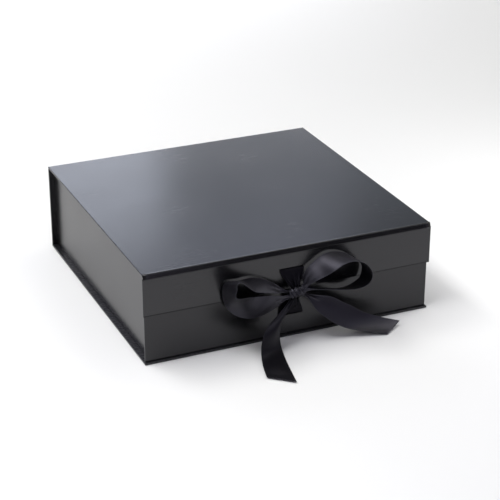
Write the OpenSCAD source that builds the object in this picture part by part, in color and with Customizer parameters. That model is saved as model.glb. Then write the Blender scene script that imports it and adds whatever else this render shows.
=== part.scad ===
// Square rigid gift box with a hinged lid, a magnetic front flap and a
// pre-tied ribbon bow. Millimetres, +Z up. Origin: underside of the base,
// under the middle of the lid. The flap faces -Y, the spine faces +Y.

/* [Box] */
// Outer width of lid, base and flap
box_w = 300; // [260:1:340]
// Outer depth, spine face to flap face
box_d = 290; // [260:1:330]
// Outer height, table to lid face
box_h = 92.6; // [84:0.2:98]
// Distance the side walls stand in from the box edge
wall_inset = 6.2; // [4:0.2:10]

/* [Board and paper] */
// Thickness of the base with its paper, seen as a band under the front wall
base_t = 2.2; // [2:0.1:4]
// Greyboard thickness
board_t = 1.5; // [1.5:0.1:2]
// Covering paper thickness
paper_t = 0.25; // [0.2:0.05:0.35]
// Radius of the paper over a board edge
edge_r = 0.6; // [0.3:0.1:0.8]
// Width of the folded-in paper margin on the lid
turn_in = 12; // [8:1:20]

/* [Flap] */
// Height of the front flap
flap_h = 38.4; // [34:0.2:44]
// Gap between lid underside and flap, crossed by the paper hinge
groove = 2; // [1.6:0.1:2.6]
// Height of the upper ribbon slot above the table
slot_top_z = 72.4; // [70:0.1:76]
// Height of the lower ribbon slot above the table
slot_low_z = 23; // [18:0.1:25]
// Length of each ribbon slot
slot_w = 26; // [26:0.5:30]
// Height of each ribbon slot
slot_h = 2.2; // [1:0.1:2.4]

/* [Closure] */
// Distance of each magnet from the middle
magnet_x = 75; // [40:1:110]
// Height of the magnets above the table
magnet_z = 60; // [56:1:64]
// Magnet diameter
magnet_d = 12; // [8:1:14]

/* [Ribbon] */
// Width of the satin ribbon
ribbon_w = 25; // [24:0.5:25.5]
// Thickness of the ribbon bands
ribbon_t = 0.6; // [0.4:0.1:0.8]
// Diameter of the knot
knot_d = 9.6; // [8:0.2:10]
// Length of the knot
knot_l = 15; // [12:0.5:15.5]

/* [Hidden] */

gap = 0.3;                       // clearance between bodies that move
lid_back = 1.6;                  // the lid's front edge stands back behind the flap's face
wall_t = board_t + 2*paper_t;    // a covered board
yf = -box_d/2;                   // outer face of the flap
yb = box_d/2;                    // outer face of the spine
hw = box_w/2;
z_lid = box_h - wall_t;          // underside of the lid
z_top = z_lid - 0.4;             // top edge of the tray walls
yw = yf + wall_t + gap;          // outer face of the front wall
z_flap1 = z_lid - groove;        // top edge of the flap
z_flap0 = z_flap1 - flap_h;      // bottom edge of the flap
xs = hw - wall_inset;            // outer face of a side wall

paper_c = [0.17, 0.17, 0.19];
liner_c = [0.13, 0.13, 0.14];
board_c = [0.45, 0.43, 0.40];
steel_c = [0.72, 0.72, 0.74];
ribbon_c = [0.05, 0.05, 0.07];

// corners [low, high] of each covered board
base_b  = [[-hw+0.5, yf, 0], [hw-0.5, yb, base_t]];
spine_b = [[-hw+0.5, yb-wall_t, base_t], [hw-0.5, yb, z_top]];
front_b = [[-hw+1.5, yw, base_t], [hw-1.5, yw+wall_t, z_top]];
lid_b   = [[-hw+0.5, yf+lid_back, z_lid], [hw-0.5, yb, box_h]];
flap_b  = [[-hw, yf, z_flap0], [hw, yf+wall_t, z_flap1]];
side_b  = [[xs-wall_t, yw+wall_t, base_t], [xs, yb-wall_t, z_top]];

// windows left open by the folded-in paper, filled by the liners
liner_x = xs - wall_t - 1;
base_w  = [[-liner_x, yw+wall_t+0.8, base_t-paper_t], [liner_x, yb-wall_t-0.8, base_t]];
spine_w = [[-liner_x, yb-wall_t, base_t+2.5], [liner_x, yb-wall_t+paper_t, z_top-8]];
front_w = [[-liner_x, yw+wall_t-paper_t, base_t+2.5], [liner_x, yw+wall_t, z_top-8]];
lid_w   = [[-hw+turn_in, yf+6, z_lid], [hw-turn_in, yb-turn_in, z_lid+paper_t]];
flap_w  = [[-hw+6, yf+wall_t-paper_t, z_flap0+4], [hw-6, yf+wall_t, z_flap1-4]];

// ---- plain building shapes ----

module block(b) {
  translate(b[0]) cube(b[1] - b[0]);
}

function grow(b, d) = [b[0] - [d, d, d], b[1] + [d, d, d]];

// the same box with paper_t taken off every side
function core(b) = grow(b, -paper_t);

module rrect(lo, hi, r) {
  s = hi - lo;
  translate([lo[0]+r, lo[1]]) square([s[0]-2*r, s[1]]);
  translate([lo[0], lo[1]+r]) square([s[0], s[1]-2*r]);
  for (x = [lo[0]+r, hi[0]-r], y = [lo[1]+r, hi[1]-r])
    translate([x, y]) circle(r, $fn = 32);
}

// profile in YZ drawn out along X
module along_x(b) {
  translate([b[0][0], 0, 0]) rotate([90, 0, 90])
    linear_extrude(b[1][0] - b[0][0])
      rrect([b[0][1], b[0][2]], [b[1][1], b[1][2]], edge_r);
}
// profile in XZ drawn out along Y
module along_y(b) {
  translate([0, b[1][1], 0]) rotate([90, 0, 0])
    linear_extrude(b[1][1] - b[0][1])
      rrect([b[0][0], b[0][2]], [b[1][0], b[1][2]], edge_r);
}
// profile in XY drawn out along Z
module along_z(b) {
  translate([0, 0, b[0][2]])
    linear_extrude(b[1][2] - b[0][2])
      rrect([b[0][0], b[0][1]], [b[1][0], b[1][1]], edge_r);
}

module slab_z(b) { intersection() { along_x(b); along_y(b); } }
module slab_y(b) { intersection() { along_x(b); along_z(b); } }
module slab_x(b) { intersection() { along_y(b); along_z(b); } }

// a slot for the ribbon, cut through in Y
module slot(z, y0, y1) {
  translate([-slot_w/2, y0, z - slot_h/2]) cube([slot_w, y1 - y0, slot_h]);
}

// two discs with their axis along Y
module discs(d, y0, y1) {
  for (s = [-1, 1])
    translate([s*magnet_x, y1, magnet_z]) rotate([90, 0, 0])
      cylinder(d = d, h = y1 - y0, $fn = 64);
}

// ---- ribbon bands ----
// A band is given by its two selvedges, smoothed through the points.

function cr(a, b, c, d, t) =
  0.5*((2*b) + (c - a)*t + (2*a - 5*b + 4*c - d)*t*t + (3*b - a - 3*c + d)*t*t*t);

function smooth(p, k) = let (n = len(p)) concat(
  [for (i = [0:n-2], j = [0:k-1])
    cr(p[max(i-1, 0)], p[i], p[i+1], p[min(i+2, n-1)], j/k)],
  [p[n-1]]);

function unit(v) = v / max(norm(v), 0.0001);

function side(a, b, i) = let (n = len(a),
    lo = max(i-1, 0), hi = min(i+1, n-1),
    t = (a[hi] + b[hi]) - (a[lo] + b[lo]))
  unit(cross(t, b[i] - a[i])) * ribbon_t/2;

module band(pa, pb, k) {
  a = smooth(pa, k);
  b = smooth(pb, k);
  n = len(a);
  pts = [for (i = [0:n-1]) let (s = side(a, b, i))
    each [a[i]+s, b[i]+s, b[i]-s, a[i]-s]];
  quads = [for (i = [0:n-2], j = [0:3]) let (q = 4*i + j, r = 4*i + (j+1)%4)
    each [[q, r, r+4], [q, r+4, q+4]]];
  caps = [[2, 1, 0], [3, 2, 0], [4*n-4, 4*n-3, 4*n-2], [4*n-4, 4*n-2, 4*n-1]];
  translate([0, yf, 0]) polyhedron(pts, concat(quads, caps), convexity = 8);
}

// Selvedge points of the bow: x, distance in front of the flap (negative), z
loop_left_back = [[-9.8,-9,53.7], [-14.8,-7,57.6], [-22.8,-5,63.8], [-32.8,-4,69.1],
  [-41.7,-3,71.5], [-48.7,-3,71.9], [-55.6,-3,71.1], [-62.6,-3,71.8], [-67.6,-3,72.1],
  [-71.5,-3,69.8], [-72.5,-3,63.4], [-72.4,-3.5,56.8], [-71,-4.5,50.5], [-67.7,-6,44.2],
  [-61.8,-8,38.6], [-54.1,-10,35.1], [-45.3,-11,33.6], [-35.9,-12,34.9], [-26.4,-12.5,38.4],
  [-16.5,-12,43], [-9.6,-11.4,46.8]];
loop_left_front = [[-10.9,-13,54.7], [-20.2,-17,57.5], [-29,-20,60.8], [-40,-23,64.5],
  [-49.1,-25.5,68.6], [-54.6,-26.5,73.1], [-60.1,-27,78.6], [-64.3,-26,81.4], [-67.6,-25.4,78],
  [-67.1,-26,75.3], [-68.7,-25.9,70.5], [-68.4,-25.7,66.6], [-65.1,-24.6,64], [-58.7,-21.5,61.7],
  [-50.8,-17.3,59.1], [-43,-14.6,57.1], [-36.5,-14.9,56.5], [-30.2,-16.9,56.6],
  [-22.9,-16.8,55.1], [-15.1,-15.5,52.8], [-9.6,-14,51.8]];
loop_right_back = [[8.1,-8,56.6], [9.1,-5,64], [15,-3.5,71.5], [21.9,-3,76.5], [29.8,-3,81.5],
  [39.7,-3,83.5], [51.8,-3,80.5], [61.9,-3,74.5], [69,-3,68.5], [73,-3,63.5],
  [73.2,-3,57.5], [71.3,-3,50.4], [65.3,-3,46.4], [57.4,-3,43.4], [47.4,-4,43.5],
  [35.3,-5,46.5], [22.2,-7,50.6], [12.2,-8,53.1]];
loop_right_front = [[9.5,-14,57.7], [13.9,-16.5,61.3], [18.8,-19,64.8], [25.6,-22,68.9], [32.4,-26.5,75],
  [40.3,-27.5,80], [48.2,-28,82], [56.2,-27,80.5], [64.3,-26.5,76.5], [69.4,-27,71],
  [72.5,-27,64], [70.6,-27.5,57], [64.7,-27,52.5], [54.7,-27,51.5], [42.7,-26.5,53],
  [29.8,-23,54.4], [18.9,-20,54.9], [11,-15,53.8]];
tail_left_a = [[-9.2,-13,45.1], [-14.7,-15,40.5], [-23.5,-18.2,34.6], [-33.2,-22.5,29.4],
  [-40.8,-28,23.7], [-45,-31,13.7], [-47.2,-36.4,4.2], [-51.7,-51.2,2], [-55.5,-67.1,1.2]];
tail_left_b = [[-5.2,-13.4,43.8], [-9.6,-15.2,38.9], [-14.6,-17.2,33.6], [-18.7,-19.2,27.4],
  [-21.2,-20.6,19.3], [-22,-22.6,9.6], [-23,-30.5,3.1], [-27.5,-51.3,1.3], [-34.3,-85.6,1.2]];
tail_right_a = [[11.2,-12,48.2], [26.2,-12,43.7], [37.3,-12,40.2], [48.4,-13,32.7], [58.4,-14,26.6],
  [68.5,-16,19.7], [84.7,-17.9,12], [106.5,-22.7,5.2]];
tail_right_b = [[9.7,-14,45.8], [13.7,-16.5,39.8], [17.8,-19,32.9], [27.3,-22,23.9], [38.5,-23.8,15.2],
  [50.7,-25.7,9], [65.9,-30.3,5.3], [86.7,-36.3,1.6]];

// ---- the tray: base, spine, front wall and two side walls ----

module base_board() { color(board_c) block(core(base_b)); }

module base_wrap() {
  color(paper_c) difference() {
    slab_z(base_b);
    block(core(base_b));
    block([base_w[0], base_w[1] + [0, 0, 1]]);
  }
}

module floor_liner() { color(liner_c) block(base_w); }

module spine_board() { color(board_c) block(core(spine_b)); }

module spine_wrap() {
  color(paper_c) difference() {
    slab_y(spine_b);
    block(core(spine_b));
    block([spine_w[0] - [0, 1, 0], spine_w[1]]);
  }
}

module spine_liner() { color(liner_c) block(spine_w); }

module front_board() {
  c = core(front_b);
  color(board_c) difference() {
    block(c);
    slot(slot_low_z, c[0][1]-1, c[1][1]+1);
    discs(magnet_d + 0.2, c[0][1]-1, c[1][1]+1);
    // seat of the glued ribbon end
    block([[-ribbon_w/2-0.2, c[1][1]-0.3, slot_low_z-0.3], [ribbon_w/2+0.2, c[1][1]+1, slot_low_z+20.4]]);
  }
}

module front_wrap() {
  color(paper_c) difference() {
    slab_y(front_b);
    block(core(front_b));
    block([front_w[0], front_w[1] + [0, 1, 0]]);
    slot(slot_low_z, front_b[0][1]-1, front_b[0][1]+1);
  }
}

module front_liner() { color(liner_c) block(front_w); }

module side_board() { block(core(side_b)); }

module side_wrap() {
  difference() {
    slab_x(side_b);
    block(core(side_b));
  }
}

module side_board_left()  { color(board_c) mirror([1, 0, 0]) side_board(); }
module side_board_right() { color(board_c) side_board(); }
module side_wrap_left()   { color(paper_c) mirror([1, 0, 0]) side_wrap(); }
module side_wrap_right()  { color(paper_c) side_wrap(); }

module magnets() {
  c = core(front_b);
  color(steel_c) discs(magnet_d, c[0][1], c[1][1]);
}

module ribbon_anchor_lower() {
  c = core(front_b);
  color(ribbon_c) {
    block([[-ribbon_w/2, yw-0.2, slot_low_z-0.3], [ribbon_w/2, c[1][1], slot_low_z+0.3]]);
    block([[-ribbon_w/2, c[1][1]-0.3, slot_low_z-0.3], [ribbon_w/2, c[1][1], slot_low_z+20]]);
  }
}

// from the lower slot up to just under the knot
module ribbon_lead_lower() {
  y0 = yw - yf - 0.6;
  color(ribbon_c) band(
    [[-ribbon_w/2, y0, slot_low_z], [-11.5, y0-1.6, slot_low_z+3], [-8, -3, slot_low_z+12], [-4.5, -6.5, slot_low_z+22.8]],
    [[ribbon_w/2, y0, slot_low_z], [11.5, y0-1.6, slot_low_z+3], [8, -3, slot_low_z+12], [4.5, -6.5, slot_low_z+22.8]], 5);
}

// ---- the lid ----

module lid_board() { color(board_c) block(core(lid_b)); }

module lid_wrap() {
  color(paper_c) difference() {
    slab_z(lid_b);
    block(core(lid_b));
    block([lid_w[0] - [0, 0, 1], lid_w[1]]);
  }
}

module lid_liner() { color(liner_c) block(lid_w); }

// ---- the flap and the bow it carries ----

module flap_board() {
  c = core(flap_b);
  color(board_c) difference() {
    block(c);
    slot(slot_top_z, c[0][1]-1, c[1][1]+1);
    discs(magnet_d + 0.2, c[0][1]-1, c[1][1]+1);
    // seat of the glued ribbon end
    block([[-ribbon_w/2-0.2, c[1][1]-0.3, slot_top_z-18.4], [ribbon_w/2+0.2, c[1][1]+1, slot_top_z+0.3]]);
  }
}

module flap_wrap() {
  color(paper_c) difference() {
    slab_y(flap_b);
    block(core(flap_b));
    block([flap_w[0], flap_w[1] + [0, 1, 0]]);
    slot(slot_top_z, flap_b[0][1]-1, flap_b[0][1]+1);
  }
}

module flap_liner() { color(liner_c) block(flap_w); }

module keepers() {
  c = core(flap_b);
  color(steel_c) discs(magnet_d, c[0][1], c[1][1]);
}

module ribbon_anchor_upper() {
  c = core(flap_b);
  color(ribbon_c) {
    block([[-ribbon_w/2, yf-0.2, slot_top_z-0.3], [ribbon_w/2, c[1][1], slot_top_z+0.3]]);
    block([[-ribbon_w/2, c[1][1]-0.3, slot_top_z-18], [ribbon_w/2, c[1][1], slot_top_z+0.3]]);
  }
}

// from the upper slot down to the knot
module ribbon_lead_upper() {
  color(ribbon_c) band(
    [[-ribbon_w/2, -0.6, slot_top_z], [-11.4, -2, slot_top_z-4.2], [-7.4, -5.2, slot_top_z-10.5], [-4.2, -8, slot_top_z-16]],
    [[ribbon_w/2, -0.6, slot_top_z], [11.4, -2, slot_top_z-4.2], [7.2, -5.2, slot_top_z-10.5], [3.4, -8, slot_top_z-16]], 5);
}

module bow_knot() {
  r = knot_d/2;
  color(ribbon_c) translate([-0.4, yf-11.5, 52]) rotate([0, 90, 0])
    rotate_extrude($fn = 48) union() {
      translate([0, -knot_l/2]) square([r-2, knot_l]);
      translate([0, -knot_l/2+2]) square([r, knot_l-4]);
      intersection() {
        union() {
          translate([r-2, -knot_l/2+2]) circle(2, $fn = 32);
          translate([r-2, knot_l/2-2]) circle(2, $fn = 32);
        }
        translate([0, -knot_l/2]) square([r, knot_l]);
      }
    }
}

module bow_loop_left()  { color(ribbon_c) band(loop_left_front, loop_left_back, 3); }
module bow_loop_right() { color(ribbon_c) band(loop_right_front, loop_right_back, 3); }
module bow_tail_left()  { color(ribbon_c) band(tail_left_a, tail_left_b, 4); }
module bow_tail_right() { color(ribbon_c) band(tail_right_a, tail_right_b, 4); }

base_board();
base_wrap();
floor_liner();
spine_board();
spine_wrap();
spine_liner();
front_board();
front_wrap();
front_liner();
side_board_left();
side_wrap_left();
side_board_right();
side_wrap_right();
magnets();
ribbon_anchor_lower();
ribbon_lead_lower();
lid_board();
lid_wrap();
lid_liner();
flap_board();
flap_wrap();
flap_liner();
keepers();
ribbon_anchor_upper();
ribbon_lead_upper();
bow_knot();
bow_loop_left();
bow_loop_right();
bow_tail_left();
bow_tail_right();
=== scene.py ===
import bpy
import math
import numpy as np
from mathutils import Matrix, Vector, noise


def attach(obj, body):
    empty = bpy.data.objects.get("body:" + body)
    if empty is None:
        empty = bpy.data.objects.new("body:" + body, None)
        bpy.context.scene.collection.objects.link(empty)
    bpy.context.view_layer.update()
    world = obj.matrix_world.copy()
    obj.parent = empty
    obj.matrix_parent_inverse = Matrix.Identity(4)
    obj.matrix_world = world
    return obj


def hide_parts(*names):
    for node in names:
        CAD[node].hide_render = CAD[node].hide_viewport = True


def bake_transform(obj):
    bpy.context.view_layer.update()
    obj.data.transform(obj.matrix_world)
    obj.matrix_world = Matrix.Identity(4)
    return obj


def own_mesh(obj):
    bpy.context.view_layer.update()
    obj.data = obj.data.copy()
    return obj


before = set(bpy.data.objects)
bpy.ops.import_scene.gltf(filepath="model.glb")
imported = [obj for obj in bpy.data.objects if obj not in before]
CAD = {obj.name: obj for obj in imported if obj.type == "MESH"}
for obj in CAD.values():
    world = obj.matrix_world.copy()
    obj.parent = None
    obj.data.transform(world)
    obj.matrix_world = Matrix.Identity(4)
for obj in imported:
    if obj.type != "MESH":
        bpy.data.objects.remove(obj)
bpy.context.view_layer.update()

MM = 0.001
YF = -145.0          # outer face of the flap, mm
RIBBON_W = 25.0      # width of the satin ribbon, mm
SLOT_HIGH = 72.4     # height of the slot in the flap, mm
SLOT_LOW = 23.0      # height of the slot in the front wall, mm


# ---------------------------------------------------------------- camera ----
# Placed from the box's own edges: a long lens, front left, 24 degrees down.

EYE = Vector((-0.5763, -1.3539, 0.7135))
FORWARD = Vector((0.36583, 0.82971, -0.42161)).normalized()
RIGHT = Vector((0.91537, -0.40262, 0.00192))
RIGHT = (RIGHT - RIGHT.dot(FORWARD) * FORWARD).normalized()
UP = RIGHT.cross(FORWARD)

lens = bpy.data.cameras.new("camera")
lens.sensor_width = 36.0
lens.lens = 1569.0 / 500 * 36.0
lens.clip_start = 0.02
lens.clip_end = 50.0
camera = bpy.data.objects.new("camera", lens)
bpy.context.scene.collection.objects.link(camera)
camera.matrix_world = Matrix.Translation(EYE) @ Matrix((RIGHT, UP, -FORWARD)).transposed().to_4x4()
bpy.context.scene.camera = camera
bpy.context.scene.view_settings.view_transform = "Standard"
bpy.context.scene.view_settings.look = "None"


# ------------------------------------------------------------- materials ----

class Nodes:
    """A material's node tree, written one node a line."""

    def __init__(self, name):
        self.material = bpy.data.materials.new(name)
        self.material.use_nodes = True
        self.tree = self.material.node_tree
        self.tree.nodes.clear()
        self.out = self.tree.nodes.new("ShaderNodeOutputMaterial")

    def put(self, socket, value):
        if isinstance(value, bpy.types.NodeSocket):
            self.tree.links.new(value, socket)
        else:
            socket.default_value = value

    def node(self, kind, inputs=None, **settings):
        n = self.tree.nodes.new(kind)
        for k, v in settings.items():
            setattr(n, k, v)
        for k, v in (inputs or {}).items():
            self.put(n.inputs[k], v)
        return n

    def math(self, op, a, b=0.0, c=0.0, clamp=False):
        n = self.node("ShaderNodeMath", {0: a, 1: b, 2: c}, operation=op, use_clamp=clamp)
        return n.outputs[0]

    def coords(self, kind="Object"):
        return self.node("ShaderNodeTexCoord").outputs[kind]

    def scaled(self, vector, scale, rotation=(0, 0, 0)):
        return self.node("ShaderNodeMapping", {"Vector": vector, "Scale": scale, "Rotation": rotation}).outputs[0]

    def noise(self, vector, scale, detail=3.0, rough=0.55, distortion=0.0):
        return self.node("ShaderNodeTexNoise", {
            "Vector": vector, "Scale": scale, "Detail": detail, "Roughness": rough, "Distortion": distortion}).outputs["Fac"]

    def span(self, value, a, b, to_a, to_b, smooth=False):
        n = self.node("ShaderNodeMapRange", {0: value, 1: a, 2: b, 3: to_a, 4: to_b},
                      interpolation_type="SMOOTHSTEP" if smooth else "LINEAR")
        return n.outputs[0]

    def mix(self, fac, a, b):
        n = self.node("ShaderNodeMix", data_type="RGBA")
        self.put(n.inputs[0], fac)
        self.put(n.inputs[6], a)
        self.put(n.inputs[7], b)
        return n.outputs[2]

    def bump(self, height, distance, strength=1.0, normal=None):
        inputs = {"Height": height, "Distance": distance, "Strength": strength}
        if normal is not None:
            inputs["Normal"] = normal
        return self.node("ShaderNodeBump", inputs).outputs[0]

    def shader(self, **inputs):
        n = self.node("ShaderNodeBsdfPrincipled", {k.replace("_", " "): v for k, v in inputs.items()})
        self.tree.links.new(n.outputs[0], self.out.inputs[0])
        return self.material

    def edge_mask(self, near=0.93, far=0.995):
        """1 on the rounded edges of a squared-off board, 0 on its flats: there the normal isn't along an axis."""
        n = self.node("ShaderNodeNewGeometry").outputs["True Normal"]
        s = self.node("ShaderNodeSeparateXYZ", {0: n}).outputs
        big = self.math("MAXIMUM", self.math("ABSOLUTE", s[0]), self.math("MAXIMUM", self.math("ABSOLUTE", s[1]), self.math("ABSOLUTE", s[2])))
        return self.span(big, near, far, 1.0, 0.0, smooth=True)


def rgb(r, g, b):
    return (r, g, b, 1.0)


def laminated_paper(name, tint=(0.0050, 0.0050, 0.0058), rough=0.24, fibre=1.0, grain=0.2, ior=1.5, painted_gap_shade=None):
    """Black paper with a satin film on it: fine fibres drawn out one way, a slight orange peel, and polished edges."""
    m = Nodes(name)
    at = m.coords()
    drawn = m.scaled(at, (0.12, 1.0, 1.0))
    fine = m.noise(drawn, 5200.0, 2.0, 0.6)
    streak = m.noise(m.scaled(at, (0.035, 1.0, 1.0)), 1500.0, 3.0, 0.6)
    peel = m.noise(at, 420.0, 3.0, 0.5)
    broad = m.noise(at, 14.0, 2.0, 0.5)
    edge = m.edge_mask()
    height = m.math("ADD", m.math("MULTIPLY", fine, 0.55), m.math("ADD", m.math("MULTIPLY", streak, 0.8), m.math("MULTIPLY", peel, 0.5)))
    normal = m.bump(height, 0.000016 * fibre, 0.55)
    wave = m.bump(m.noise(at, 55.0, 2.0, 0.4), 0.00003, 0.5, normal)
    speck = m.span(m.noise(at, 2600.0, 1.0, 0.5), 0.66, 0.80, 0.0, 1.0)
    colour = m.mix(m.span(streak, 0.3, 0.7, 0.0, 1.0), rgb(*[c * (1 - grain) for c in tint]), rgb(*[c * (1 + grain) for c in tint]))
    colour = m.mix(m.math("MULTIPLY", speck, grain), colour, rgb(*[c * 2.4 for c in tint]))
    colour = m.mix(m.math("MULTIPLY", edge, m.span(peel, 0.35, 0.7, 0.15, 0.8)), colour, rgb(*[c * 2.2 + 0.002 for c in tint]))
    r = m.span(broad, 0.3, 0.7, rough - 0.02, rough + 0.02)
    r = m.math("ADD", r, m.span(streak, 0.3, 0.7, -0.025, 0.025))
    r = m.math("ADD", r, m.math("MULTIPLY", edge, -0.05))
    tint_out = rgb(0.97, 0.96, 1.0)
    if painted_gap_shade is not None:
        # painted shade: the reflection is darkened in a thin band along this edge, standing in for the shadow in the
        # gap under the flap
        z = m.node("ShaderNodeSeparateXYZ", {0: at}).outputs[2]
        line = m.span(m.math("ADD", z, m.span(broad, 0.0, 1.0, -0.0001, 0.0001)), painted_gap_shade[0], painted_gap_shade[1], 1.0, 0.0, smooth=True)
        tint_out = m.mix(m.math("MULTIPLY", line, 0.75), tint_out, rgb(0.1, 0.1, 0.1))
    return m.shader(Base_Color=colour, Roughness=r, IOR=ior, Specular_Tint=tint_out, Normal=wave)


def plain_paper(name, tint=(0.017, 0.017, 0.018), rough=0.62):
    """Uncoated black lining paper: matt, felted, with lighter fibres in it."""
    m = Nodes(name)
    at = m.coords()
    felt = m.noise(at, 900.0, 4.0, 0.65)
    hair = m.noise(m.scaled(at, (1.0, 0.18, 0.5), (0.2, 0.3, 0.7)), 2400.0, 2.0, 0.6, 0.6)
    broad = m.noise(at, 22.0, 3.0, 0.5)
    height = m.math("ADD", m.math("MULTIPLY", felt, 0.8), m.math("MULTIPLY", hair, 0.6))
    normal = m.bump(height, 0.00005, 0.6)
    colour = m.mix(m.span(broad, 0.3, 0.7, 0.0, 1.0), rgb(*[c * 0.85 for c in tint]), rgb(*[c * 1.2 for c in tint]))
    colour = m.mix(m.span(hair, 0.62, 0.75, 0.0, 0.5), colour, rgb(*[c * 2.2 for c in tint]))
    r = m.span(felt, 0.3, 0.7, rough - 0.06, rough + 0.06)
    return m.shader(Base_Color=colour, Roughness=r, IOR=1.45, Normal=normal)


def greyboard(name):
    m = Nodes(name)
    at = m.coords()
    pulp = m.noise(at, 700.0, 5.0, 0.7)
    ply = m.noise(m.scaled(at, (0.1, 0.1, 1.0)), 1800.0, 2.0, 0.5)
    colour = m.mix(m.span(pulp, 0.25, 0.75, 0.0, 1.0), rgb(0.17, 0.155, 0.135), rgb(0.30, 0.285, 0.255))
    normal = m.bump(m.math("ADD", pulp, ply), 0.00012, 0.7)
    return m.shader(Base_Color=colour, Roughness=m.span(pulp, 0.3, 0.7, 0.8, 0.95), Normal=normal)


def plated_steel(name, colour, rough):
    m = Nodes(name)
    at = m.coords()
    turned = m.noise(m.scaled(at, (1.0, 1.0, 0.1)), 3000.0, 3.0, 0.6)
    stain = m.noise(at, 260.0, 3.0, 0.6)
    c = m.mix(m.span(stain, 0.35, 0.7, 0.0, 1.0), rgb(*colour), rgb(*[x * 0.75 for x in colour]))
    return m.shader(Base_Color=c, Metallic=1.0, Roughness=m.span(turned, 0.3, 0.7, rough - 0.06, rough + 0.08),
                    Normal=m.bump(turned, 0.00001, 0.5))


def satin(name, tint=(0.0036, 0.0034, 0.0050), shine=(0.34, 0.43), ior=1.50, sheen=0.02):
    """Black single-face satin. UV is in metres: U across the ribbon from 0 to its width, V along it."""
    m = Nodes(name)
    uv = m.coords("UV")
    s = m.node("ShaderNodeSeparateXYZ", {0: uv}).outputs
    w = RIBBON_W * MM
    # 1 in the woven selvedge, the outer 0.9 mm each side
    off = m.math("SUBTRACT", w / 2, m.math("ABSOLUTE", m.math("SUBTRACT", s[0], w / 2)))
    selvedge = m.span(off, 0.0006, 0.0011, 1.0, 0.0, smooth=True)
    # warp floats run along the ribbon, the weft shows as faint ribs across it
    warp = m.noise(m.scaled(uv, (1.0, 0.035, 1.0)), 9000.0, 2.0, 0.6)
    slub = m.noise(m.scaled(uv, (1.0, 0.02, 1.0)), 1400.0, 2.0, 0.5)
    weft = m.math("SINE", m.math("MULTIPLY", s[1], 2 * math.pi / 0.00034))
    rib = m.math("SINE", m.math("MULTIPLY", s[1], 2 * math.pi / 0.00052))
    rib = m.math("MULTIPLY", m.math("MULTIPLY_ADD", rib, 0.5, 0.5), selvedge)
    height = m.math("ADD", m.math("MULTIPLY", warp, 0.55), m.math("MULTIPLY", weft, 0.10))
    height = m.math("ADD", height, m.math("MULTIPLY", rib, 1.6))
    normal = m.bump(height, 0.000022, 0.6)
    normal = m.bump(m.noise(m.scaled(uv, (1.0, 0.45, 1.0)), 260.0, 2.0, 0.5), 0.00008, 0.5, normal)
    colour = m.mix(m.span(slub, 0.3, 0.7, 0.0, 1.0), rgb(*[c * 0.8 for c in tint]), rgb(*[c * 1.3 for c in tint]))
    colour = m.mix(m.math("MULTIPLY", selvedge, 0.85), colour, rgb(*[c * 2.2 + 0.002 for c in tint]))
    r = m.span(warp, 0.25, 0.75, *shine)
    r = m.math("ADD", r, m.math("MULTIPLY", selvedge, 0.08))
    across = m.node("ShaderNodeTangent", direction_type="UV_MAP", uv_map="UVMap").outputs[0]
    return m.shader(Base_Color=colour, Roughness=r, IOR=ior, Specular_Tint=rgb(0.84, 0.81, 1.0), Anisotropic=0.3, Tangent=across,
                    Sheen_Weight=sheen, Sheen_Roughness=0.35, Normal=normal)


PAPER = laminated_paper("wrap_paper_satin")
BASE_PAPER = laminated_paper("wrap_paper_base_painted_light", tint=(0.012, 0.012, 0.0135), rough=0.27, grain=0.05)   # lighter copy of the paper: painted light, standing in for the bright floor reflected in the base's edges
LINER = plain_paper("liner_paper_matt")
BOARD = greyboard("greyboard_core")
MAGNET = plated_steel("magnet_nickel", (0.62, 0.60, 0.57), 0.26)
KEEPER = plated_steel("keeper_steel", (0.50, 0.51, 0.53), 0.36)
SATIN = satin("satin_ribbon_black")
SATIN_BACK = satin("satin_ribbon_black_reverse", tint=(0.0030, 0.0028, 0.0040), shine=(0.44, 0.54), ior=1.30, sheen=0.0)
SATIN_SOFT = satin("satin_ribbon_black_handled", shine=(0.44, 0.54), ior=1.48)
# painted shade: a darker copy of the reverse, standing in for the knot's shadow over the upper lead
SATIN_SHADED = satin("satin_ribbon_black_painted_shade", tint=(0.0024, 0.0022, 0.0034), shine=(0.46, 0.56), ior=1.20, sheen=0.0)

FINISH = {"wrap": PAPER, "liner": LINER, "board": BOARD, "magnets": MAGNET, "keepers": KEEPER,
          "ribbon": SATIN, "bow": SATIN}


def set_material(o, material):
    if not o.data.materials:
        o.data.materials.append(material)
    for i in range(len(o.data.materials)):
        o.data.materials[i] = material


for node_name, node in CAD.items():
    for word, material in FINISH.items():
        if node_name.startswith(word) or node_name.endswith(word) or "_" + word + "_" in node_name:
            set_material(node, material)
# painted light: the whole base board gets the lighter copy of the paper
set_material(CAD["base_wrap"], BASE_PAPER)
FLAP_FOOT = min(v.co.z for v in CAD["flap_wrap"].data.vertices)
# painted shade: a thin band along the flap's bottom edge reflects less, standing in for the shadow of the gap under it
set_material(CAD["flap_wrap"], laminated_paper("wrap_paper_flap", ior=1.57, painted_gap_shade=(FLAP_FOOT + 0.0008, FLAP_FOOT + 0.0016)))
set_material(CAD["front_wrap"], laminated_paper("wrap_paper_front", ior=1.52))


# ------------------------------------------------------------- mesh tools ----

def make_mesh(name, verts, faces, material, uvs=None, smooth=True):
    mesh = bpy.data.meshes.new(name)
    mesh.from_pydata([tuple(v) for v in verts], [], faces)
    mesh.validate()
    mesh.update()
    if smooth:
        mesh.polygons.foreach_set("use_smooth", [True] * len(mesh.polygons))
    if uvs is not None:
        layer = mesh.uv_layers.new(name="UVMap")
        for loop in mesh.loops:
            layer.data[loop.index].uv = uvs[loop.vertex_index]
    mesh.materials.append(material)
    o = bpy.data.objects.new(name, mesh)
    bpy.context.scene.collection.objects.link(o)
    return o


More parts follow.
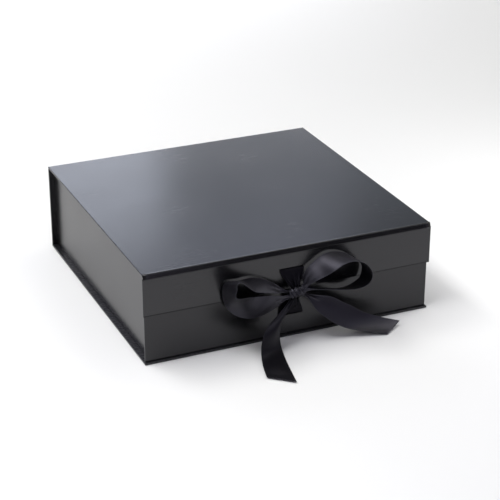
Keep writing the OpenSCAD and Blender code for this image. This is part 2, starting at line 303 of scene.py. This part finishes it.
def catmull(points, k):
    p = np.array(points, float)
    n = len(p)
    out = []
    for i in range(n - 1):
        a, b, c, d = p[max(i - 1, 0)], p[i], p[i + 1], p[min(i + 2, n - 1)]
        for j in range(k):
            t = j / k
            out.append(0.5 * (2 * b + (c - a) * t + (2 * a - 5 * b + 4 * c - d) * t * t + (3 * b - a - 3 * c + d) * t ** 3))
    out.append(p[-1])
    return np.array(out)


def soften(p, passes):
    """Takes out small kinks and keeps both ends."""
    p = p.copy()
    for _ in range(passes):
        p[1:-1] = 0.25 * p[:-2] + 0.5 * p[1:-1] + 0.25 * p[2:]
    return p


def norm_rows(v):
    return v / np.maximum(np.linalg.norm(v, axis=-1, keepdims=True), 1e-9)


def smoothstep(x, a, b):
    t = np.clip((x - a) / (b - a), 0, 1)
    return t * t * (3 - 2 * t)


def ribbon(name, side_a, side_b, folds, seed, gather_below=21.0, step=1.1, across=40, thick=0.30, bead=0.46,
           camber=0.0, camber_sign=1.0, ripple=0.0, end_ripple=0.0, ends=(True, False), relief=1.5, reach=9.0, one_way=0.0, cup=0.0, dull="top", reverse=None):
    """A ribbon between two selvedges (mm: x, distance in front of the flap, z). Where the selvedges come closer together
    than the ribbon's width the spare width goes into pleats, so that it stays 25 mm of cloth all the way."""
    rng = np.random.RandomState(seed)
    a = soften(catmull(side_a, 24), 60)
    b = soften(catmull(side_b, 24), 60)
    mid = (a + b) / 2
    arc = np.concatenate([[0], np.cumsum(np.linalg.norm(np.diff(mid, axis=0), axis=1))])
    rows = max(12, int(round(arc[-1] / step)))
    at = np.linspace(0, arc[-1], rows + 1)
    a = np.stack([np.interp(at, arc, a[:, k]) for k in range(3)], 1)
    b = np.stack([np.interp(at, arc, b[:, k]) for k in range(3)], 1)
    n_rows = len(at)
    u = np.linspace(0, 1, across)
    chord = np.linalg.norm(b - a, axis=1)
    wide = (b - a) / chord[:, None]
    along = norm_rows(np.gradient((a + b) / 2, axis=0))
    up = norm_rows(np.cross(along, wide))
    # pleats: sharper towards the knot, with uneven spacing that wanders along the ribbon
    gather = 1 - smoothstep(chord, gather_below * 0.45, gather_below)
    ph = rng.uniform(0, 2 * math.pi, 6)
    h = np.zeros((n_rows, across))
    for i in range(n_rows):
        s = at[i]
        warp = u + 0.045 * np.sin(2 * math.pi * u + ph[0] + s * 0.02) + 0.02 * np.sin(4 * math.pi * u + ph[1] - s * 0.03)
        pl = np.sin(2 * math.pi * folds * warp + ph[2]) * (0.80 + 0.20 * np.sin(2 * math.pi * 1.3 * u + ph[3]))
        pl = pl + 0.22 * np.sin(2 * math.pi * (2 * folds + 1) * warp + ph[4] + s * 0.05)
        arch = np.sin(math.pi * u) * camber_sign
        g = gather[i]
        shape = g * pl + (1 - g) * arch * 1.6
        lo, hi = 0.0, 9.0
        if chord[i] < RIBBON_W:
            for _ in range(22):
                m = (lo + hi) / 2
                length = np.sum(np.hypot(np.diff(u) * chord[i], np.diff(shape * m)))
                lo, hi = (m, hi) if length < RIBBON_W else (lo, m)
        away = min([s if ends[0] else 1e3, at[-1] - s if ends[1] else 1e3])
        h[i] = shape * min(lo, 0.25 + relief * math.exp(-(away / reach) ** 2))
        if one_way:
            h[i] -= one_way * (h[i] * one_way).min()
    for _ in range(6):
        h[1:-1] = 0.25 * h[:-2] + 0.5 * h[1:-1] + 0.25 * h[2:]
    h += camber * np.sin(math.pi * u)[None, :] * camber_sign * (1 - gather)[:, None]
    if cup:
        spare = np.sqrt(0.375 * chord * np.maximum(RIBBON_W - chord, 0.0)) * smoothstep(at, 5.0, 26.0)
        h += cup * soften(spare[:, None], 40) * np.sin(math.pi * u)[None, :]
    if ripple:
        h += ripple * (1 - gather)[:, None] * np.sin(at[:, None] * 2 * math.pi / 31.0 + 2.2 * u[None, :] + ph[5]) * (0.4 + 0.6 * u[None, :])
    if end_ripple:
        h += end_ripple * np.exp(-(at[-1] - at) / 14.0)[:, None] * (u[None, :] - 0.5) ** 2 * 4
    p = a[:, None, :] + (b - a)[:, None, :] * u[None, :, None] + up[:, None, :] * h[:, :, None]
    ds = np.gradient(p, axis=0)
    du = np.gradient(p, axis=1)
    normal = norm_rows(np.cross(ds, du))
    edge_dir_a = norm_rows(p[:, 0] - p[:, 1])
    edge_dir_b = norm_rows(p[:, -1] - p[:, -2])
    off = np.minimum(u, 1 - u) * RIBBON_W
    t = thick + (bead - thick) * np.exp(-(off / 0.55) ** 2)
    top = p + normal * (t / 2)[None, :, None]
    bottom = p - normal * (t / 2)[None, :, None]
    ring = []
    uv_u = []
    for i in range(across):
        ring.append(top[:, i]); uv_u.append(u[i])
    for ang in (45, 0, -45):
        c, sn = math.cos(math.radians(ang)), math.sin(math.radians(ang))
        ring.append(p[:, -1] + edge_dir_b * c * bead / 2 + normal[:, -1] * sn * bead / 2); uv_u.append(1.0)
    for i in reversed(range(across)):
        ring.append(bottom[:, i]); uv_u.append(u[i])
    for ang in (-45, 0, 45):
        c, sn = math.cos(math.radians(ang)), math.sin(math.radians(ang))
        ring.append(p[:, 0] + edge_dir_a * c * bead / 2 + normal[:, 0] * sn * bead / 2); uv_u.append(0.0)
    ring = np.stack(ring, 1)
    count = ring.shape[1]
    verts = ring.reshape(-1, 3).copy()
    verts[:, 1] += YF
    uvs = [(uv_u[j] * RIBBON_W * MM, at[i] * MM) for i in range(n_rows) for j in range(count)]
    faces = []
    for i in range(n_rows - 1):
        for j in range(count):
            k = (j + 1) % count
            faces.append((i * count + j, (i + 1) * count + j, (i + 1) * count + k, i * count + k))
    for i, flip in ((0, False), (n_rows - 1, True)):
        base = i * count
        for j in range(across - 1):
            q = (base + j, base + j + 1, base + 2 * across + 1 - j, base + 2 * across + 2 - j)
            faces.append(q[::-1] if flip else q)
        right = tuple(base + across - 1 + k for k in range(5))
        left = (base + 2 * across + 2, base + 2 * across + 3, base + 2 * across + 4, base + 2 * across + 5, base)
        for q in (right, left):
            faces.append(q[::-1] if flip else q)
    o = make_mesh(name, verts * MM, faces, SATIN, uvs)
    # single-face satin: the reverse has no shine
    o.data.materials.append(reverse or SATIN_BACK)
    start = 0 if dull in ("top", "both") else across + 3
    stop = count if dull == "both" else start + across - 1
    side = np.zeros(len(o.data.polygons), int)
    for i in range(n_rows - 1):
        side[i * count + start:i * count + stop] = 1
    o.data.polygons.foreach_set("material_index", side)
    flat = (RIBBON_W * MM, float(at[-1]) * MM)
    return o, flat


# -------------------------------------------------------------- the ribbon ----
# Selvedge points, the same ones as in the CAD source: x, distance in front of the flap (negative), z, in mm.

loop_left_back = [(-5.8, -10.5, 52.3), (-9.8, -9, 53.7), (-14.8, -7, 57.6), (-22.8, -5, 63.8), (-32.8, -4, 69.1),
                (-41.7, -3, 71.5), (-48.7, -3, 71.9), (-55.6, -3, 71.1), (-62.6, -3, 71.8), (-67.6, -3, 72.1),
                (-71.5, -3, 69.8), (-72.5, -3, 63.4), (-72.4, -3.5, 56.8), (-71, -4.5, 50.5), (-67.7, -6, 44.2),
                (-61.8, -8, 38.6), (-54.1, -10, 35.1), (-45.3, -11, 33.6), (-35.9, -12, 34.9), (-26.4, -12.5, 38.4),
                (-16.5, -12, 43), (-9.6, -11.4, 46.8), (-5.8, -11, 49.6)]
loop_left_front = [(-5.9, -12.6, 53.3), (-10.9, -13, 54.7), (-20.2, -17, 57.5), (-29, -20, 60.8), (-40, -23, 64.5),
                (-49.1, -25.5, 68.6), (-54.6, -26.5, 73.1), (-60.1, -27, 78.6), (-64.3, -26, 81.4),
                (-67.6, -25.4, 78), (-67.1, -26, 75.3), (-68.7, -25.9, 70.5), (-68.4, -25.7, 66.6),
                (-65.1, -24.6, 64), (-58.7, -21.5, 61.7), (-50.8, -17.3, 59.1), (-43, -14.6, 57.1),
                (-36.5, -14.9, 56.5), (-30.2, -16.9, 56.6), (-22.9, -16.8, 55.1), (-15.1, -15.5, 52.8),
                (-9.6, -14, 51.8), (-5.8, -12.6, 51.4)]
loop_right_back = [(4.2, -10.5, 53.3), (8.1, -8, 56.6), (9.1, -5, 64), (15, -3.5, 71.5), (21.9, -3, 76.5),
                   (29.8, -3, 81.5), (39.7, -3, 83.5), (51.8, -3, 80.5), (61.9, -3, 74.5), (69, -3, 68.5),
                   (73, -3, 63.5), (73.2, -3, 57.5), (71.3, -3, 50.4), (65.3, -3, 46.4), (57.4, -3, 43.4),
                   (47.4, -4, 43.5), (35.3, -5, 46.5), (22.2, -7, 50.6), (12.2, -8, 53.1), (5.2, -10, 52.5)]
loop_right_front = [(4.1, -12.8, 54.2), (9.5, -14, 57.7), (13.9, -16.5, 61.3), (18.8, -19, 64.8), (25.6, -22, 68.9),
                    (32.4, -26.5, 75), (40.3, -27.5, 80), (48.2, -28, 82), (56.2, -27, 80.5), (64.3, -26.5, 76.5),
                    (69.4, -27, 71), (72.5, -27, 64), (70.6, -27.5, 57), (64.7, -27, 52.5), (54.7, -27, 51.5),
                    (42.7, -26.5, 53), (29.8, -23, 54.4), (18.9, -20, 54.9), (11, -15, 53.8), (5.1, -13, 52.6)]
tail_left_a = [(-5.4, -12, 48.5), (-9.2, -13, 45.1), (-14.7, -15, 40.5), (-23.5, -18.2, 34.6), (-33.2, -22.5, 29.4),
                (-40.8, -28, 23.7), (-45, -31, 13.7), (-47.2, -36.4, 4.2), (-51.7, -51.2, 2), (-55.5, -67.1, 1.2)]
tail_left_b = [(-2.8, -12.6, 48.2), (-5.2, -13.4, 43.8), (-9.6, -15.2, 38.9), (-14.6, -17.2, 33.6),
                (-18.7, -19.2, 27.4), (-21.2, -20.6, 19.3), (-22, -22.6, 9.6), (-23, -30.5, 3.1),
                (-27.5, -51.3, 1.3), (-34.3, -85.6, 1.2)]
tail_right_a = [(4.7, -11.5, 50.7), (11.2, -12, 48.2), (26.2, -12, 43.7), (37.3, -12, 40.2), (48.4, -13, 32.7),
                (58.4, -14, 26.6), (68.5, -16, 19.7), (84.7, -17.9, 12), (106.5, -22.7, 5.2)]
tail_right_b = [(4.2, -13, 49.2), (9.7, -14, 45.8), (13.7, -16.5, 39.8), (17.8, -19, 32.9), (27.3, -22, 23.9),
                (38.5, -23.8, 15.2), (50.7, -25.7, 9), (65.9, -30.3, 5.3), (86.7, -36.3, 1.6)]
lead_upper_a = [(-12.5, 1.3, 73.1), (-12.5, 0.2, 72.2), (-12.3, -0.7, 70.9), (-11.4, -2.0, 68.2),
                (-9.2, -4.0, 64.2), (-6.6, -6.4, 59.6), (-4.2, -8.4, 55.6)]
lead_upper_b = [(12.5, 1.3, 73.1), (12.5, 0.2, 72.2), (12.3, -0.7, 70.9), (11.3, -2.0, 68.2),
                (9.0, -4.0, 64.2), (6.2, -6.4, 59.6), (3.2, -8.4, 55.6)]
lead_lower_a = [(-12.5, 3.6, 22.4), (-12.5, 2.3, 23.1), (-12.2, 1.0, 25.0), (-10.6, -1.6, 30.0), (-8.2, -4.4, 36.4),
                (-6, -6.8, 42), (-5, -8.2, 46.7)]
lead_lower_b = [(12.5, 3.6, 22.4), (12.5, 2.3, 23.1), (12.2, 1.0, 25.0), (10.2, -1.6, 30.0), (7.2, -4.4, 36.4),
                (4.6, -6.8, 42), (3.4, -8.2, 46.7)]


loop_left, flat_ll = ribbon("ribbon_loop_left", loop_left_front, loop_left_back, 2, 11, camber=-0.7, ends=(True, True), relief=1.9)
loop_right, flat_lr = ribbon("ribbon_loop_right", loop_right_front, loop_right_back, 2, 23, camber=0.4, ends=(True, True), relief=1.9, reverse=SATIN_SOFT)
tail_left, flat_tl = ribbon("ribbon_tail_left", tail_left_a, tail_left_b, 2, 5, camber=0.5, end_ripple=0.3, relief=1.8, cup=0.6, dull="both")
tail_right, flat_tr = ribbon("ribbon_tail_right", tail_right_a, tail_right_b, 2, 8, camber=0.6, end_ripple=0.3, relief=1.8)
# painted shade: the upper lead wears the darker copy of the satin
lead_upper, flat_lu = ribbon("ribbon_lead_from_flap", lead_upper_a, lead_upper_b, 3, 31, gather_below=24.5, step=0.5, across=56,
                             ends=(False, True), relief=1.6, reach=16.0, one_way=1.0, dull="both", reverse=SATIN_SHADED)
lead_lower, flat_lo = ribbon("ribbon_lead_from_front", lead_lower_a, lead_lower_b, 3, 37, gather_below=24.5, step=0.5, across=56,
                             ends=(False, True), relief=1.6, reach=16.0, one_way=-1.0, dull="bottom")


def knot(name):
    """The cross-over of the knot: one pleated wrap round the gathered ribbons, its folds running round it."""
    cx, cy, cz = -0.4, YF - 11.5, 52.0
    nx, nt = 84, 120
    profile = []                      # (x, radius scale, how much relief)
    half = 8.0
    for i in range(nx):
        t = i / (nx - 1) * 2 - 1
        profile.append((t * half, 1.0 - 0.20 * abs(t) ** 3.2, 1.0))
    # the mouth at each end rolls inwards round the ribbons
    lips_r = [(half + 0.25, 0.74, 0.7), (half + 0.1, 0.66, 0.5), (half - 0.5, 0.58, 0.3), (half - 2.0, 0.5, 0.2)]
    rows = [(-x, r, k) for x, r, k in reversed(lips_r)] + profile + lips_r
    verts, uvs, faces = [], [], []
    for i, (x, r, relief) in enumerate(rows):
        for j in range(nt):
            th = 2 * math.pi * j / nt
            q = (x + 1.5 * math.sin(th * 1.0 + 0.6) + 0.5 * math.sin(2 * th + 1.9)) / 3.7
            ridge = abs(math.cos(math.pi * q + 0.35 * math.sin(th + 1.0)))
            ridge = ridge ** 0.75 - 0.62
            fine = abs(math.cos(math.pi * q * 2.3 + 1.1 + 0.5 * math.sin(2 * th))) ** 0.8 - 0.6
            crumple = noise.noise(Vector((x * 0.42, math.cos(th) * 1.7, math.sin(th) * 1.7 + 3.0)))
            crease = noise.noise(Vector((x * 0.9 + 7.0, math.cos(th) * 3.2, math.sin(th) * 3.2)))
            d = relief * (1.15 * ridge + 0.30 * fine + 0.75 * crumple + 0.25 * crease)
            ry, rz = 4.35 * r + d, 4.75 * r + d
            verts.append((cx + x, cy + ry * math.cos(th), cz + rz * math.sin(th) + 0.05 * x))
            uvs.append(((x + half) / (2 * half) * RIBBON_W * MM, th * 4.6 * MM))
    n = len(rows)
    for i in range(n - 1):
        for j in range(nt):
            k = (j + 1) % nt
            faces.append((i * nt + j, i * nt + k, (i + 1) * nt + k, (i + 1) * nt + j))
    # close the mouth inside, out of sight
    for i, flip in ((0, True), (n - 1, False)):
        ring = [i * nt + j for j in range(nt)]
        faces.append(tuple(reversed(ring)) if not flip else tuple(ring))
    o = make_mesh(name, np.array(verts) * MM, faces, SATIN, uvs)
    return o


bow_knot = knot("ribbon_knot")

for piece, body, stands_for in (
        (loop_left, "flap", "bow_loop_left"), (loop_right, "flap", "bow_loop_right"),
        (tail_left, "flap", "bow_tail_left"), (tail_right, "flap", "bow_tail_right"),
        (lead_upper, "flap", "ribbon_lead_upper"), (lead_lower, "tray", "ribbon_lead_lower"),
        (bow_knot, "flap", "bow_knot")):
    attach(piece, body)
    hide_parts(stands_for)


# --------------------------------------------------------- paper hinges ----

def paper_strip(name, profile, x0, x1, thick, material, columns=60, wander=0.03):
    """A strip of paper drawn out along X from a line in the YZ plane (mm), with thickness."""
    p = soften(catmull(profile, 8), 3)
    t = norm_rows(np.gradient(p, axis=0))
    n2 = np.stack([t[:, 1], -t[:, 0]], 1)
    loop = np.concatenate([p + n2 * thick / 2, (p - n2 * thick / 2)[::-1]])
    rows, count = columns + 1, len(loop)
    verts, faces = [], []
    for i in range(rows):
        x = x0 + (x1 - x0) * i / columns
        shift = wander * noise.noise(Vector((x * 0.05, 0.3, 1.7)))
        for y, z in loop:
            verts.append((x * MM, (y + shift) * MM, z * MM))
    for i in range(rows - 1):
        for j in range(count):
            k = (j + 1) % count
            faces.append((i * count + j, i * count + k, (i + 1) * count + k, (i + 1) * count + j))
    faces.append(tuple(reversed(range(count))))
    faces.append(tuple((rows - 1) * count + j for j in range(count)))
    return make_mesh(name, verts, faces, material)


# The covering paper bridges the gap between the lid's front edge and the flap in one slanting band.
groove_cover = paper_strip("flap_hinge_cover_paper", [(-141.2, 92.62), (-142.4, 92.68), (-143.1, 92.62), (-143.5, 92.36), (-143.8, 91.8),
    (-144.1, 91.0), (-144.42, 90.1), (-144.68, 89.3), (-144.88, 88.85), (-145.04, 88.45), (-145.08, 87.9),
    (-145.05, 87.2)], -149.45, 149.45, 0.14, PAPER)
groove_liner = paper_strip("flap_hinge_liner_paper", [(-133, 90.55), (-138, 90.54), (-141.8, 90.53), (-142.7, 90.44), (-143.02, 90.1), (-143.1, 89.6),
    (-143, 88.8), (-142.95, 88), (-142.94, 86.1), (-142.94, 83.8)], -143.5, 143.5, 0.07, LINER, wander=0.0)
spine_cover = paper_strip("lid_hinge_cover_paper", [(144, 89.3), (144.45, 89.72), (144.72, 90.06), (144.84, 90.4), (144.72, 90.74), (144.45, 91.08),
    (144, 91.5)],
    -149.2, 149.2, 0.16, PAPER, wander=0.02)
spine_liner = paper_strip("lid_hinge_liner_paper", [(142.95, 81.1), (142.95, 84.6), (142.95, 88.1), (142.97, 89.8), (143.2, 90.22), (143.8, 90.26),
    (144.4, 90.28), (144.62, 90.4), (144.4, 90.52), (143.8, 90.55), (142, 90.56), (137, 90.56),
    (132.4, 90.56)], -138.5, 138.5, 0.07, LINER, wander=0.0)
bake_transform(groove_cover)
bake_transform(groove_liner)
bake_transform(spine_cover)
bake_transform(spine_liner)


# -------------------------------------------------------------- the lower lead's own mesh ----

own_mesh(lead_lower)


# --------------------------------------------------------- floor and light ----

def sweep_floor():
    n = 24
    half = 6.0
    verts = [(-half + 2 * half * i / n, -half + 2 * half * j / n, -0.0002) for j in range(n + 1) for i in range(n + 1)]
    faces = [(j * (n + 1) + i, j * (n + 1) + i + 1, (j + 1) * (n + 1) + i + 1, (j + 1) * (n + 1) + i)
             for j in range(n) for i in range(n)]
    m = Nodes("floor_white")
    at = m.coords()
    tone = m.noise(at, 3.0, 2.0, 0.5)
    colour = m.mix(tone, rgb(0.80, 0.80, 0.80), rgb(0.82, 0.82, 0.82))
    material = m.shader(Base_Color=colour, Roughness=0.9, Specular_IOR_Level=0.2)
    return make_mesh("floor", verts, faces, material, smooth=False)


floor = sweep_floor()

world = bpy.data.worlds.new("studio")
world.use_nodes = True
bpy.context.scene.world = world
background = world.node_tree.nodes["Background"]
background.inputs[0].default_value = (1.0, 1.0, 1.0, 1.0)
background.inputs[1].default_value = 0.02

# Softboxes: place, aim, size, power, colour. The biggest stand high at the back left, low ones glance off the lid.
SOFTBOXES = [
    ((-0.4, 1.3, 0.35), (-0.2, 0, 0.1), (0.5, 0.3), 2.6, (1, 1, 1)),
    ((-0.8, 1.3, 1.43), (-1.4, 0, 1.43), (1.6, 0.4), 0.26, (1, 0.929, 0.937)),
    ((-0.4, 0.9, 1.65), (-0.4, 0.9, 0), (0.8, 0.6), 4.25, (1, 0.993, 0.941)),
    ((-0.8, 1.3, 1.03), (-1, 0, 1.03), (0.8, 0.4), 2.7, (0.9, 0.914, 1)),
    ((-0.8, 1.3, 0.63), (-1, 0, 0.63), (0.8, 0.4), 0.26, (0, 0, 1)),
    ((0.2, 1.3, 0.63), (0.2, 0, 0.63), (0.4, 0.4), 1.57, (0.807, 0.867, 1)),
    ((0.4, 1.3, 0.23), (0.2, 0, 0.23), (0.8, 0.4), 2.93, (0.964, 0.95, 1)),
    ((0.8, 1.3, 0.63), (0.6, 0, 0.63), (0.8, 0.4), 0.76, (0.797, 0.875, 1)),
    ((0.8, 0.3, 1.65), (0.4, 0.3, 0), (1.6, 0.6), 4.12, (1, 0.98, 0.811)),
    ((1.6, -0.1, 0.42), (0, -0.1, 0.42), (0.8, 0.8), 0.8, (1, 0.96, 0.907)),
    ((1.6, 0.7, 0.42), (0, 0.7, 0.42), (0.8, 0.8), 6.33, (1, 0.99, 0.962)),
    ((0, -2.3, 1), (0, 0, 0.1), (1.2, 1.4), 2.93, (0.798, 0.733, 1)),
    ((-0.8, 0.3, 1.65), (-1.2, 0.3, 0), (1.6, 0.6), 27.05, (0.999, 1, 0.992)),
    ((0, -0.775, 0.9), (0, -1, 0), (0.4, 0.85), 0.85, (0.923, 0.922, 1)),
    ((0.6, 1.3, 1.03), (0.6, 0, 1.03), (0.4, 0.4), 0.74, (0.721, 0.777, 1)),
    ((-0.4, -0.3, 1.65), (-0.4, -0.3, 0), (0.8, 0.6), 6.51, (0.972, 0.97, 1)),
    ((1.4, 1.3, 0.43), (1.4, 0, 0.23), (0.4, 0.8), 0.14, (0.979, 1, 0.715)),
    ((1.3, -1.3, 0.5), (0, 0, 0.05), (0.7, 0.7), 0.6, (0.777, 0.662, 1)),
    ((0.35, -0.45, 0.35), (0.35, -0.45, 0), (0.25, 0.25), 0.2, (0.86, 0.868, 1)),
    ((0.62, -0.62, 0.35), (0.62, -0.62, 0), (0.25, 0.25), 0.18, (0.956, 0.951, 1)),
    ((0.5, -0.1, 0.35), (0.5, -0.1, 0), (0.25, 0.25), 1, (0.993, 0.993, 1)),
    ((-0.4, -0.45, 0.35), (-0.4, -0.45, 0), (0.25, 0.25), 0.63, (0.967, 0.97, 1)),
    ((-0.5, 0, 0.4), (-0.5, 0, 0), (0.25, 0.25), 0.24, (0.908, 0.935, 1)),
    ((0, -0.55, 0.4), (0, -0.55, 0), (0.25, 0.25), 0.14, (0.959, 0.986, 1)),
]


def softbox(number, at, aim, size, power, colour):
    light = bpy.data.lights.new("softbox_%02d" % number, "AREA")
    light.shape = "RECTANGLE"
    light.size, light.size_y = size
    light.energy = power
    light.color = colour
    o = bpy.data.objects.new(light.name, light)
    bpy.context.scene.collection.objects.link(o)
    o.location = at
    o.rotation_euler = (Vector(aim) - Vector(at)).to_track_quat("-Z", "Y").to_euler()
    o.visible_camera = False


for number, row in enumerate(SOFTBOXES):
    softbox(number, *row)
